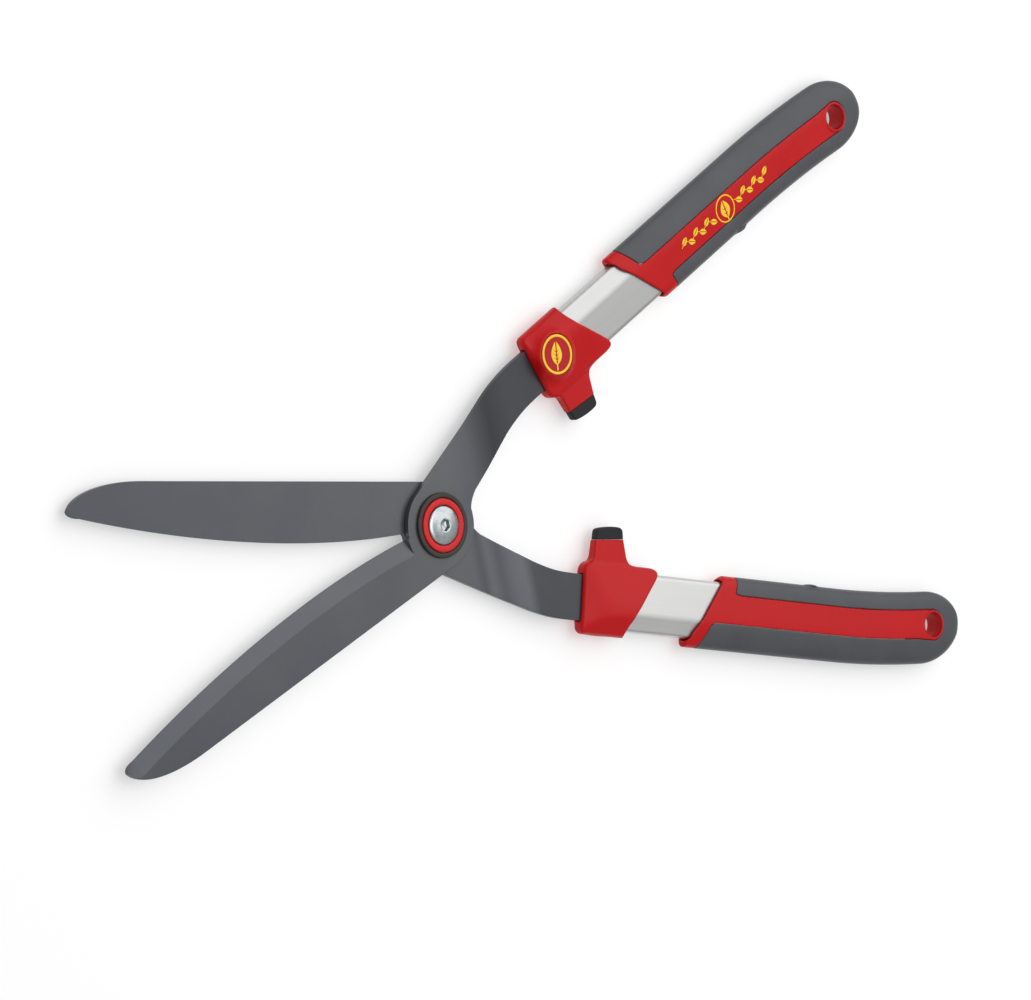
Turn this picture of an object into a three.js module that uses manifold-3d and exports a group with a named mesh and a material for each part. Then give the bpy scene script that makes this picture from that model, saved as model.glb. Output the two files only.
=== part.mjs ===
// Two-handed hedge shears. Millimetres, +Z up, lying flat as on a bench.
// The origin is on the pivot axis, on the surface that the shears rest on. +X runs between the two
// handles and the blades point towards -X. The two halves are the same parts: the front half lies on
// top at the pivot, and the rear half is the front half turned over about the X axis.
// Inside a half, z = 0 is the plane where the two blades slide on each other.

import * as THREE from 'three';
import { mergeVertices } from 'three/addons/utils/BufferGeometryUtils.js';
import Module from 'manifold-3d';

const wasm = await Module();
wasm.setup();

const GAP = 0.3; // clearance kept between touching pieces
const REST_HEIGHT = 8.5; // blade sliding plane above the resting surface
const degrees = THREE.MathUtils.degToRad;

// Blade and tang, one stamping
const BLADE = {
  thickness: 3, facingGap: 0.15, bossRadius: 22.5, boltHoleRadius: 6.3,
  heel: [-23.6, -1.6], edgeEnd: [-222.3, -60.8], edgeStartAngle: 6.5, edgeEndAngle: 24.5, edgeHandle: 65,
  spineAngle: 14.3, spineEndX: -182, tip: [-228.4, -65.8],
  bevelWidth: 8.8, bevelLand: 0.4, bevelStopRadius: 23.8,
};
// Handle axis: its angle from the centre line and its distance from the pivot
const HANDLE = { angle: 19.5, offset: 29 };
const TANG = {
  width: 24.6, insertWidth: 18, shoulder: 111, end: 150, joggleStart: 36, joggleEnd: 74, rootAngle: 34.7,
};
const TUBE = {
  halfWidth: 16.15, ridge: 6.5, halfThickness: 5.4, innerEdge: 3.4, outerEdge: 3.6,
  wall: 1.2, start: 112, end: 343,
};
const PIN = { radius: 2, stations: [122, 138], halfLength: 4.4 };
const COLLAR = {
  halfThickness: 8.5, start: 101.2, noseHalf: 5, noseEnd: 104.2, padRadius: 13, badgeAt: [114, 1.5],
};
const ARM = {
  halfThickness: 2.4, rootU: [108, 131.6], tipU: [109.4, 129.2], capLine: -31, slope: -0.087,
};
const CAP = { tip: -38.4, stemRadius: 1.2, stemLength: 6 };
const BADGE = { radius: 10.6, bottom: 7.5, top: 8.5 };
const GRIP = {
  halfWidth: 20.3, halfThickness: 7.4, ridgeTop: 7.2, ridge: 6.5, faceSlope: 0.105, centre: 0.5,
  start: 160, roundFrom: 361, end: 389.8, bendFrom: 290, bend: 0.00077, squareness: 2.6, shell: 1.4,
  inlay: [-9.4, 6.3], hole: [365, -5.2], holeRadius: 6.8, holeRim: 8.4,
};

const PIVOT = {
  headRadius: 10.05, headBottom: 4.3, headEdge: 4.9, headTop: 6.6, shankRadius: 4,
  socketAcross: 5, socketDepth: 2.4, bushRadius: 6, nutAcross: 13, nutTop: -4.75,
};

function finish(color, roughness, metalness) {
  return new THREE.MeshStandardMaterial({ color, roughness, metalness });
}

const finishes = {
  coatedSteel: finish(0x4e5359, 0.42, 0.55),
  redPlastic: finish(0xc4161c, 0.35, 0),
  aluminium: finish(0xc9cacb, 0.38, 0.9),
  softGrey: finish(0x55585d, 0.6, 0),
  blackRubber: finish(0x2b2d30, 0.75, 0),
  blackPlastic: finish(0x1f2022, 0.5, 0),
  zinc: finish(0xd6d9db, 0.22, 1),
  springSteel: finish(0x8b8d90, 0.35, 1),
  bronze: finish(0xa5793a, 0.4, 0.9),
  badge: finish(0xe8c21a, 0.4, 0),
};

// --- solids ---

function solid(geometry) {
  const bare = geometry.clone();
  bare.deleteAttribute('normal');
  bare.deleteAttribute('uv');
  const merged = mergeVertices(bare, 1e-4);
  const corners = Array.from(merged.index.array);
  const triangles = [];
  for (let i = 0; i < corners.length; i += 3) {
    const [a, b, c] = corners.slice(i, i + 3);
    if (a !== b && b !== c && c !== a) triangles.push(a, b, c);
  }
  return new wasm.Manifold(new wasm.Mesh({
    numProp: 3,
    vertProperties: new Float32Array(merged.attributes.position.array),
    triVerts: new Uint32Array(triangles),
  }));
}

function piece(name, body, material) {
  const result = body.getMesh();
  const geometry = new THREE.BufferGeometry();
  geometry.setAttribute('position', new THREE.BufferAttribute(new Float32Array(result.vertProperties), 3));
  geometry.setIndex(new THREE.BufferAttribute(new Uint32Array(result.triVerts), 1));
  geometry.computeVertexNormals();
  const mesh = new THREE.Mesh(geometry, material);
  mesh.name = name;
  return mesh;
}

function prism(shape, low, high, curveSegments = 10) {
  const depth = high - low;
  const geometry = new THREE.ExtrudeGeometry(shape, { depth, bevelEnabled: false, curveSegments });
  return solid(geometry.translate(0, 0, low));
}

function roundedPrism(shape, halfThickness, round, curveSegments = 4) {
  const geometry = new THREE.ExtrudeGeometry(shape, {
    depth: 2 * (halfThickness - round), curveSegments,
    bevelEnabled: true, bevelSize: round, bevelOffset: -round, bevelThickness: round, bevelSegments: 2,
  });
  return solid(geometry.translate(0, 0, round - halfThickness));
}

function cylinder(radius, low, high, x = 0, y = 0, sides = 24) {
  const geometry = new THREE.CylinderGeometry(radius, radius, high - low, sides);
  return solid(geometry.rotateX(Math.PI / 2).translate(x, y, (low + high) / 2));
}

function box(low, high) {
  const size = high.map((value, i) => value - low[i]);
  const middle = high.map((value, i) => (value + low[i]) / 2);
  return solid(new THREE.BoxGeometry(...size).translate(...middle));
}

function lathe(profile, sides = 32) {
  const points = profile.map(([r, z]) => new THREE.Vector2(r, z));
  return solid(new THREE.LatheGeometry(points, sides).rotateX(Math.PI / 2));
}

function ring(innerRadius, outerRadius, low, high, round = 0.4) {
  return lathe([
    [innerRadius, low], [outerRadius, low], [outerRadius, high - round],
    [outerRadius - round, high], [innerRadius, high], [innerRadius, low],
  ]);
}

function polygon(points) {
  return new THREE.Shape(points.map(([x, y]) => new THREE.Vector2(x, y)));
}

// A handle-frame point (u along the handle, v outwards from its axis) in the half's own x, y
function fromHandle(u, v) {
  const angle = degrees(HANDLE.angle);
  const across = v + HANDLE.offset;
  return [
    u * Math.cos(angle) - across * Math.sin(angle),
    u * Math.sin(angle) + across * Math.cos(angle),
  ];
}

function handleMatrix() {
  const [x, y] = fromHandle(0, 0);
  return new THREE.Matrix4().makeRotationZ(degrees(HANDLE.angle)).setPosition(x, y, 0);
}

// --- blade ---

function edgePoint(angle, from, length) {
  return [from[0] + length * Math.cos(degrees(angle)), from[1] + length * Math.sin(degrees(angle))];
}

function cuttingEdge(path) {
  const leave = edgePoint(180 + BLADE.edgeStartAngle, BLADE.heel, BLADE.edgeHandle);
  const arrive = edgePoint(BLADE.edgeEndAngle, BLADE.edgeEnd, BLADE.edgeHandle);
  path.bezierCurveTo(...leave, ...arrive, ...BLADE.edgeEnd);
}

function spineY(x) {
  const angle = degrees(BLADE.spineAngle);
  return -(BLADE.bossRadius - x * Math.sin(angle)) / Math.cos(angle);
}

function bladeOutline() {
  const radius = BLADE.bossRadius;
  const spine = degrees(BLADE.spineAngle - 90);
  const rootNormal = degrees(TANG.rootAngle + 90);
  const half = TANG.width / 2;
  const insertHalf = TANG.insertWidth / 2;
  const shape = new THREE.Shape();
  shape.moveTo(...BLADE.heel);
  cuttingEdge(shape);
  shape.quadraticCurveTo(-228.8, -62.4, ...BLADE.tip);
  shape.bezierCurveTo(-223, -73.8, -204, spineY(-202), BLADE.spineEndX, spineY(BLADE.spineEndX));
  shape.lineTo(radius * Math.cos(spine), radius * Math.sin(spine));
  shape.absarc(0, 0, radius, spine, degrees(8), false);
  shape.quadraticCurveTo(23, 7, ...fromHandle(30, -27.1));
  shape.lineTo(...fromHandle(66, -16.2));
  shape.bezierCurveTo(...fromHandle(80, -12.6), ...fromHandle(86, -half), ...fromHandle(98, -half));
  shape.lineTo(...fromHandle(TANG.shoulder, -half));
  shape.lineTo(...fromHandle(TANG.shoulder, -insertHalf));
  shape.lineTo(...fromHandle(TANG.end, -insertHalf));
  shape.lineTo(...fromHandle(TANG.end, insertHalf));
  shape.lineTo(...fromHandle(TANG.shoulder, insertHalf));
  shape.lineTo(...fromHandle(TANG.shoulder, half));
  shape.lineTo(...fromHandle(96, half));
  shape.bezierCurveTo(...fromHandle(86, half), ...fromHandle(80, half), ...fromHandle(66, 9.6));
  shape.lineTo(radius * Math.cos(rootNormal), radius * Math.sin(rootNormal));
  shape.absarc(0, 0, radius, rootNormal, degrees(180), false);
  return shape;
}

// The side view of the stamping: flat at the pivot, then stepped down so that the tang is centred
function joggledStrip() {
  const low = BLADE.facingGap;
  const drop = -(low + BLADE.thickness / 2);
  const span = TANG.joggleEnd - TANG.joggleStart;
  const ease = span * 0.42;
  const shape = new THREE.Shape();
  const [a, b] = [TANG.joggleStart, TANG.joggleEnd];
  shape.moveTo(-320, low);
  shape.lineTo(a, low);
  shape.bezierCurveTo(a + ease, low, b - ease, low + drop, b, low + drop);
  shape.lineTo(200, low + drop);
  shape.lineTo(200, low + drop + BLADE.thickness);
  shape.lineTo(b, low + drop + BLADE.thickness);
  shape.bezierCurveTo(
    b - ease, low + drop + BLADE.thickness, a + ease, low + BLADE.thickness, a, low + BLADE.thickness,
  );
  shape.lineTo(-320, low + BLADE.thickness);
  const geometry = new THREE.ExtrudeGeometry(shape, { depth: 600, bevelEnabled: false, curveSegments: 6 });
  geometry.rotateX(Math.PI / 2).translate(0, 300, 0).applyMatrix4(handleMatrix());
  return solid(geometry);
}

// Everything that grinding leaves: a sloped face along the cutting edge, full thickness elsewhere
function groundEnvelope() {
  const top = BLADE.facingGap + BLADE.thickness;
  const land = BLADE.facingGap + BLADE.bevelLand;
  const shape = new THREE.Shape();
  shape.moveTo(60, 9);
  shape.lineTo(...BLADE.heel);
  cuttingEdge(shape);
  shape.lineTo(...edgePoint(180 + BLADE.edgeEndAngle, BLADE.edgeEnd, 30));
  shape.lineTo(-270, -140);
  shape.lineTo(60, -140);
  const geometry = new THREE.ExtrudeGeometry(shape, {
    depth: 20, curveSegments: 10, bevelEnabled: true, bevelSegments: 1,
    bevelSize: BLADE.bevelWidth, bevelOffset: -BLADE.bevelWidth, bevelThickness: top - land,
  });
  const sloped = solid(geometry.translate(0, 0, land - 20));
  const boss = cylinder(BLADE.bevelStopRadius, -10, 10, 0, 0, 32);
  return sloped.add(boss).add(box([0, -60, -10], [220, 160, 10]));
}

function bladeSolid() {
  let body = prism(bladeOutline(), -10, 10, 10).intersect(joggledStrip()).intersect(groundEnvelope());
  body = body.subtract(cylinder(BLADE.boltHoleRadius, -10, 10));
  for (const station of PIN.stations) {
    body = body.subtract(cylinder(PIN.radius + GAP, -10, 10, ...fromHandle(station, 0), 20));
  }
  return body;
}

// --- tube and tang joint, in the handle frame ---

// The tube's section in (v, z): a flattened lens whose ridge is nearer the outer edge
function tubeSection(inset) {
  const half = TUBE.halfWidth - inset;
  const ridge = TUBE.halfThickness - inset;
  const inner = TUBE.innerEdge - inset;
  const outer = TUBE.outerEdge - inset;
  const shape = new THREE.Shape();
  shape.moveTo(-half, 0);
  shape.quadraticCurveTo(-half, inner, 3.2 - half, inner);
  shape.lineTo(TUBE.ridge - 2, ridge - 0.2);
  shape.quadraticCurveTo(TUBE.ridge, ridge, TUBE.ridge + 1.6, ridge - 0.4);
  shape.lineTo(half - 2.6, outer);
  shape.quadraticCurveTo(half, outer, half, 0);
  shape.quadraticCurveTo(half, -outer, half - 2.6, -outer);
  shape.lineTo(TUBE.ridge + 1.6, 0.4 - ridge);
  shape.quadraticCurveTo(TUBE.ridge, -ridge, TUBE.ridge - 2, 0.2 - ridge);
  shape.lineTo(3.2 - half, -inner);
  shape.quadraticCurveTo(-half, -inner, -half, 0);
  return shape;
}

// A section drawn in (v, z) and run along u
function alongHandle(section, from, to, curveSegments = 3) {
  const depth = to - from;
  const geometry = new THREE.ExtrudeGeometry(section, { depth, bevelEnabled: false, curveSegments });
  const turn = new THREE.Matrix4().makeBasis(
    new THREE.Vector3(0, 1, 0), new THREE.Vector3(0, 0, 1), new THREE.Vector3(1, 0, 0),
  );
  return solid(geometry.applyMatrix4(turn).translate(from, 0, 0));
}

function pinHoles(body) {
  const bore = (u) => cylinder(PIN.radius + GAP, -20, 20, u, 0, 20);
  return PIN.stations.reduce((left, u) => left.subtract(bore(u)), body);
}

function tubeSolid() {
  const outside = alongHandle(tubeSection(0), TUBE.start, TUBE.end);
  const bore = alongHandle(tubeSection(TUBE.wall), TUBE.start - 1, TUBE.end + 1);
  return pinHoles(outside.subtract(bore));
}

function tangInsertSolid() {
  const halfSlot = TANG.insertWidth / 2 + GAP;
  const halfHeight = BLADE.thickness / 2 + GAP;
  const block = alongHandle(tubeSection(TUBE.wall + GAP), TUBE.start + 0.5, TANG.end + 4);
  const slot = box([TUBE.start - 5, -halfSlot, -halfHeight], [TANG.end + GAP, halfSlot, halfHeight]);
  return pinHoles(block.subtract(slot));
}

// --- collar, bumper and badge, in the handle frame ---

function capLineAt(u, v) {
  return v + ARM.slope * (u - ARM.tipU[0]);
}

function collarOutline() {
  const shape = new THREE.Shape();
  const { start } = COLLAR;
  shape.moveTo(start, -14);
  shape.quadraticCurveTo(start + 0.3, -18.6, start + 4.5, -19.3);
  shape.lineTo(147.6, -19.3);
  shape.quadraticCurveTo(156.6, -19.3, 153.1, -13.5);
  shape.lineTo(137.3, 6);
  shape.quadraticCurveTo(133.6, 10.5, 132.6, 19.2);
  shape.lineTo(start + 3.4, 19.2);
  shape.quadraticCurveTo(start, 19.2, start, 15.6);
  return shape;
}

// The collar's section in (v, z), thickest over the tube's ridge
function collarSection() {
  const thick = COLLAR.halfThickness;
  const upper = [[-19.3, 1.8], [-17.6, 4], [4, thick], [9, thick], [17.8, 3.4], [19.2, 1.8]];
  return polygon([...upper, ...upper.map(([v, z]) => [v, -z]).reverse()].reverse());
}

// The collar's side view in (u, z): its end towards the blade has broken edges
function collarNose() {
  const { start, noseHalf, noseEnd, halfThickness } = COLLAR;
  const upper = [[start - 5, noseHalf], [start, noseHalf], [noseEnd, halfThickness], [170, halfThickness]];
  const shape = polygon([...upper, ...upper.map(([u, z]) => [u, -z]).reverse()].reverse());
  const geometry = new THREE.ExtrudeGeometry(shape, { depth: 60, bevelEnabled: false });
  return solid(geometry.rotateX(Math.PI / 2).translate(0, 30, 0));
}

function armOutline() {
  const [low, high] = ARM.rootU;
  const shape = new THREE.Shape();
  shape.moveTo(low - 3, -14);
  shape.lineTo(low - 3, -18.5);
  shape.quadraticCurveTo(low + 0.4, -20, low + 0.6, -24);
  shape.lineTo(ARM.tipU[0], ARM.capLine);
  shape.lineTo(ARM.tipU[1], capLineAt(ARM.tipU[1], ARM.capLine));
  shape.lineTo(high - 0.6, -25.5);
  shape.quadraticCurveTo(high + 0.2, -19.6, high + 6.5, -18.5);
  shape.lineTo(high + 6.5, -14);
  return shape;
}

function capStem(radius, length) {
  const middle = (ARM.tipU[0] + ARM.tipU[1]) / 2;
  const geometry = new THREE.CylinderGeometry(radius, radius, length + 2, 24);
  geometry.translate(0, length / 2 - 1, 0).rotateZ(Math.atan(ARM.slope));
  return solid(geometry.translate(middle, capLineAt(middle, ARM.capLine), 0));
}

function collarSolid() {
  const clearance = TUBE.start - GAP;
  const halfSlot = TANG.width / 2 + GAP;
  const halfHeight = BLADE.thickness / 2 + GAP;
  let body = prism(collarOutline(), -20, 20, 5).intersect(alongHandle(collarSection(), 90, 170));
  body = body.intersect(collarNose()).add(roundedPrism(armOutline(), ARM.halfThickness, 0.9));
  body = body.add(cylinder(COLLAR.padRadius, 0, COLLAR.halfThickness, ...COLLAR.badgeAt));
  body = body.subtract(alongHandle(tubeSection(-GAP), clearance, 200));
  body = body.subtract(box([90, -halfSlot, -halfHeight], [clearance + 2, halfSlot, halfHeight]));
  body = body.subtract(cylinder(BADGE.radius + GAP, BADGE.bottom - GAP, 20, ...COLLAR.badgeAt));
  return body.subtract(capStem(CAP.stemRadius + GAP, CAP.stemLength + GAP));
}

function capOutline() {
  const [low, high] = ARM.tipU;
  const line = ARM.capLine - GAP;
  const at = (u, v) => [u, capLineAt(u, v)];
  const middle = (low + high) / 2;
  const shoulder = CAP.tip + 1.6;
  const shape = new THREE.Shape();
  shape.moveTo(low, line);
  shape.lineTo(low + 0.3, shoulder + 1.4);
  shape.quadraticCurveTo(low + 0.4, shoulder, low + 2.2, shoulder - 0.6);
  shape.quadraticCurveTo(middle, CAP.tip - 0.3 + ARM.slope * 8, ...at(high - 2.8, shoulder - 0.6));
  shape.quadraticCurveTo(...at(high - 1, shoulder), ...at(high - 0.6, shoulder + 1.6));
  shape.lineTo(...at(high, line));
  return shape;
}

function capSolid() {
  return roundedPrism(capOutline(), ARM.halfThickness, 1, 5).add(capStem(CAP.stemRadius, CAP.stemLength));
}

function badgeSolid() {
  return cylinder(BADGE.radius, BADGE.bottom, BADGE.top, ...COLLAR.badgeAt, 28);
}

// --- grip, in the handle frame ---

function gripCentre(u) {
  return GRIP.centre - GRIP.bend * Math.max(0, u - GRIP.bendFrom) ** 2;
}

function roundOff(u, end) {
  const t = Math.max(0, u - GRIP.roundFrom) / (end - GRIP.roundFrom);
  return Math.sqrt(Math.max(0, 1 - t * t));
}

// Half thickness of the grip's broad face: it falls away on the inner side of its ridge
function gripFace(across, inset) {
  return GRIP.ridgeTop - GRIP.faceSlope * Math.max(0, GRIP.ridge - across) - 0.6 * inset;
}

// The grip's outside, or the same shape shrunk by inset: a tapered bar of rounded section
function gripBody(inset, sides = 24) {
  const end = GRIP.end - inset;
  const straight = [GRIP.start, 200, GRIP.bendFrom, 308, 326, 344, GRIP.roundFrom];
  const shares = [0.25, 0.48, 0.68, 0.84, 0.94, 0.99];
  const curved = shares.map((share) => GRIP.roundFrom + share * (end - GRIP.roundFrom));
  const stations = [...straight, ...curved];
  const geometry = new THREE.CylinderGeometry(1, 1, 1, sides, stations.length - 1);
  const place = geometry.attributes.position;
  for (let i = 0; i < place.count; i += 1) {
    const index = Math.round((0.5 - place.getY(i)) * (stations.length - 1));
    const u = stations[index];
    const reach = Math.hypot(place.getX(i), place.getZ(i));
    const angle = Math.atan2(place.getZ(i), place.getX(i));
    const power = 2 / GRIP.squareness;
    const across = Math.sign(Math.cos(angle)) * Math.abs(Math.cos(angle)) ** power;
    const up = Math.sign(Math.sin(angle)) * Math.abs(Math.sin(angle)) ** power;
    const closing = (1 - 0.14 * THREE.MathUtils.smoothstep(u, 320, 380)) * roundOff(u, end) ** 0.7;
    const width = (GRIP.halfWidth - inset) * roundOff(u, end) * reach;
    const height = Math.abs(up) * (GRIP.halfThickness - inset) * closing;
    const face = gripFace(across * width, inset) * closing;
    place.setXYZ(i, u, gripCentre(u) + across * width, Math.sign(up) * Math.min(height, face) * reach);
  }
  return solid(geometry);
}

// The face left red, seen from above: the lip end, the strip and the ring round the hanging hole
function inlayOutline(extra) {
  const [low, high] = GRIP.inlay;
  const [holeU, holeV] = GRIP.hole;
  const shape = new THREE.Shape();
  const lowAt = (u) => gripCentre(u) - GRIP.centre + low - extra;
  const highAt = (u) => gripCentre(u) - GRIP.centre + high + extra;
  shape.moveTo(150, -40);
  shape.lineTo(213.5 + extra, -40);
  shape.lineTo(213.5 + extra, -20);
  shape.lineTo(211 + extra, lowAt(211) - 1.5);
  shape.quadraticCurveTo(211.3 + extra, lowAt(214), 217, lowAt(217));
  for (const u of [GRIP.bendFrom, 310, 330, 348]) shape.lineTo(u, lowAt(u));
  shape.absarc(holeU, holeV, GRIP.holeRim + extra, degrees(-100), degrees(80), false);
  for (const u of [348, 330, 310, GRIP.bendFrom]) shape.lineTo(u, highAt(u));
  shape.lineTo(198, highAt(198));
  shape.quadraticCurveTo(194 + extra, highAt(195), 192 + extra, highAt(193) + 2);
  shape.lineTo(186 + extra, 20);
  shape.lineTo(180 + extra, 40);
  shape.lineTo(150, 40);
  return shape;
}

function lipCut() {
  return prism(polygon([[165, 40], [176, 20.5], [180.5, 11.5], [199.5, -14.5], [203.5, -20.5], [208, -40],
    [500, -40], [500, 40]]), -20, 20);
}

function hangingHole() {
  return cylinder(GRIP.holeRadius, -20, 20, ...GRIP.hole);
}

function gripCoreSolid() {
  const face = gripBody(0).intersect(prism(inlayOutline(0), -20, 20, 6)).intersect(lipCut());
  const bore = alongHandle(tubeSection(-GAP), 100, TUBE.end + GAP);
  const inside = gripBody(GRIP.shell).intersect(box([215, -60, -20], [500, 60, 20]));
  return face.add(inside).subtract(bore).subtract(hangingHole());
}

function gripSleeveSolid() {
  const outside = gripBody(0).subtract(prism(inlayOutline(GAP), -20, 20, 6)).intersect(lipCut());
  const bore = alongHandle(tubeSection(-GAP), 100, TUBE.end + GAP);
  return outside.subtract(gripBody(GRIP.shell - GAP)).subtract(bore);
}

// --- one half ---

function handleGroup(side) {
  const group = new THREE.Group();
  group.rotation.z = degrees(HANDLE.angle);
  const [x, y] = fromHandle(0, 0);
  group.position.set(x, y, 0);
  group.add(
    piece(`${side}_tube`, tubeSolid(), finishes.aluminium),
    piece(`${side}_tang_insert`, tangInsertSolid(), finishes.blackPlastic),
    piece(`${side}_collar`, collarSolid(), finishes.redPlastic),
    piece(`${side}_bumper_cap`, capSolid(), finishes.blackRubber),
    piece(`${side}_badge`, badgeSolid(), finishes.badge),
    piece(`${side}_grip_core`, gripCoreSolid(), finishes.redPlastic),
    piece(`${side}_grip_sleeve`, gripSleeveSolid(), finishes.softGrey),
  );
  PIN.stations.forEach((u, i) => {
    const pin = cylinder(PIN.radius, -PIN.halfLength, PIN.halfLength, u, 0, 20);
    group.add(piece(`${side}_tang_pin_${i + 1}`, pin, finishes.springSteel));
  });
  return group;
}

function half(side) {
  const group = new THREE.Group();
  group.add(piece(`${side}_blade`, bladeSolid(), finishes.coatedSteel), handleGroup(side));
  return group;
}

// --- pivot ---

function hexagon(acrossFlats) {
  const radius = acrossFlats / Math.sqrt(3);
  const points = [];
  for (let i = 0; i < 6; i += 1) {
    points.push([radius * Math.cos(i * Math.PI / 3), radius * Math.sin(i * Math.PI / 3)]);
  }
  return polygon(points);
}

function pivotBolt() {
  const { headRadius, headBottom, headEdge, headTop, shankRadius, socketAcross, socketDepth } = PIVOT;
  const profile = [[0, -REST_HEIGHT], [shankRadius, -REST_HEIGHT], [shankRadius, headBottom],
    [headRadius, headBottom], [headRadius, headEdge]];
  const steps = 5;
  for (let i = 1; i <= steps; i += 1) {
    const t = (i / steps) * Math.PI / 2;
    profile.push([headRadius * Math.cos(t), headEdge + (headTop - headEdge) * Math.sin(t)]);
  }
  profile[profile.length - 1][0] = 0;
  return lathe(profile, 36).subtract(prism(hexagon(socketAcross), headTop - socketDepth, 20));
}

function discSpring() {
  return lathe([[4.4, 3.7], [9.2, 3.45], [9.2, 3.75], [4.4, 4], [4.4, 3.7]]);
}

function lockNut() {
  return prism(hexagon(PIVOT.nutAcross), -REST_HEIGHT, PIVOT.nutTop)
    .subtract(cylinder(PIVOT.shankRadius + GAP, -20, 0));
}

function pivotGroup() {
  const top = BLADE.facingGap + BLADE.thickness + GAP;
  const under = -top;
  const group = new THREE.Group();
  group.add(
    piece('pivot_bolt', pivotBolt(), finishes.zinc),
    piece('pivot_bush', ring(PIVOT.shankRadius + GAP, PIVOT.bushRadius, -3.1, 3.1, 0.2), finishes.bronze),
    piece('disc_spring', discSpring(), finishes.springSteel),
    piece('pivot_trim_ring', ring(10.4, 13.9, top, 5.2, 0.5), finishes.redPlastic),
    piece('pivot_seal_ring', ring(14.2, 16.9, top, 4.9, 0.9), finishes.blackRubber),
    piece('rear_washer', ring(PIVOT.shankRadius + GAP, 9, under - 1, under, 0.2), finishes.zinc),
    piece('lock_nut', lockNut(), finishes.zinc),
  );
  return group;
}

const rear = half('rear');
rear.rotation.x = Math.PI;

const shears = new THREE.Group();
shears.add(half('front'), rear, pivotGroup());
shears.position.z = REST_HEIGHT;

export default shears;
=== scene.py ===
"""Hedge shears: the finished look of every piece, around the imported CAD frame.

The shape code works in millimetres, in one half's own frame. There z = 0 is the plane where the two
blades slide on each other. The rear half is the same half turned over about the X axis. Handle
coordinates are u along the handle and v outwards from its axis.
"""

import math

import bpy
import numpy as np
from mathutils import Matrix, Vector
from mathutils.geometry import delaunay_2d_cdt


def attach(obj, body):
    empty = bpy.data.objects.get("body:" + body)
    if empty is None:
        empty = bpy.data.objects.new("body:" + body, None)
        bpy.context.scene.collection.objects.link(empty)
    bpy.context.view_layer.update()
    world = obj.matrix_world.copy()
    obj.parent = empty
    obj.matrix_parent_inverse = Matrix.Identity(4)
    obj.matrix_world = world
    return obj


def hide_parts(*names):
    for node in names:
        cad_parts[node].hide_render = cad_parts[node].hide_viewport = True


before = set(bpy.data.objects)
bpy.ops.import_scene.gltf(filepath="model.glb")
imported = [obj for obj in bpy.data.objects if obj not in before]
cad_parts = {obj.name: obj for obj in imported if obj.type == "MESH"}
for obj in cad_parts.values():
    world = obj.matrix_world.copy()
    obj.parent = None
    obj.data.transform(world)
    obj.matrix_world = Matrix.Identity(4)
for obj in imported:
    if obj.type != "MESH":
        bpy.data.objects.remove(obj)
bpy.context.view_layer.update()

MM = 0.001
REST_HEIGHT = 8.5  # the sliding plane above the resting surface
GAP = 0.3  # clearance between touching pieces
HANDLE_ANGLE = math.radians(19.5)
HANDLE_OFFSET = 29.0
SIDES = ("front", "rear")
SETTLING_ROUNDS = 4


# --- placing ---

def from_handle(u, v):
    """Half-frame x, y of a handle point."""
    cos, sin = math.cos(HANDLE_ANGLE), math.sin(HANDLE_ANGLE)
    across = np.asarray(v) + HANDLE_OFFSET
    return u * cos - across * sin, u * sin + across * cos


def to_handle(x, y):
    """Handle u, v of a half-frame point."""
    cos, sin = math.cos(HANDLE_ANGLE), math.sin(HANDLE_ANGLE)
    return x * cos + y * sin, y * cos - x * sin - HANDLE_OFFSET


def handle_to_half(points):
    x, y = from_handle(points[:, 0], points[:, 1])
    return np.stack([x, y, points[:, 2]], axis=1)


def turn_handle(vectors):
    cos, sin = math.cos(HANDLE_ANGLE), math.sin(HANDLE_ANGLE)
    x, y = vectors[:, 0], vectors[:, 1]
    return np.stack([x * cos - y * sin, x * sin + y * cos, vectors[:, 2]], axis=1)


def side_signs(side):
    return np.array([1.0, 1.0, 1.0] if side == "front" else [1.0, -1.0, -1.0])


def to_row(points, side):
    """Row-frame metres of half-frame points."""
    return (np.asarray(points, float) * side_signs(side) + [0, 0, REST_HEIGHT]) * MM


def link_object(name, data):
    holder = bpy.data.objects.new(name, data)
    bpy.context.scene.collection.objects.link(holder)
    return holder


def make_object(name, vertices, faces, material, normals=None, sharp=None):
    """A smooth-shaded object. Its edges above the angle sharp, in degrees, stay hard."""
    mesh = bpy.data.meshes.new(name)
    mesh.from_pydata(np.asarray(vertices).tolist(), [], [list(map(int, face)) for face in faces])
    mesh.materials.append(material)
    mesh.shade_smooth()
    if sharp is not None:
        mesh.set_sharp_from_angle(angle=math.radians(sharp))
    mesh.update()
    if normals is not None:
        mesh.normals_split_custom_set_from_vertices(np.asarray(normals).tolist())
    return link_object(name, mesh)


def install(piece, node, body):
    """The piece stands for a CAD node, on that node's body."""
    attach(piece, body)
    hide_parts(node)


# --- distance fields ---

def polygon_distance(points, x, y):
    """Signed distance to a closed polygon, negative inside."""
    shape = np.broadcast(x, y).shape
    best = np.full(shape, 1e9)
    inside = np.zeros(shape, bool)
    for (ax, ay), (bx, by) in zip(points, points[1:] + points[:1]):
        ex, ey = bx - ax, by - ay
        wx, wy = x - ax, y - ay
        t = np.clip((wx * ex + wy * ey) / (ex * ex + ey * ey), 0, 1)
        best = np.minimum(best, (wx - ex * t) ** 2 + (wy - ey * t) ** 2)
        crosses = (ay > y) != (by > y)
        inside = inside ^ (crosses & (x < ax + wy * ex / (ey or 1e-9)))
    return np.where(inside, -1.0, 1.0) * np.sqrt(best)


def round_both(a, b, radius):
    """Inside both a and b, with the edge between them rounded."""
    corner = np.hypot(np.maximum(a + radius, 0), np.maximum(b + radius, 0))
    return np.minimum(np.maximum(a, b), -radius) + corner


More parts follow.
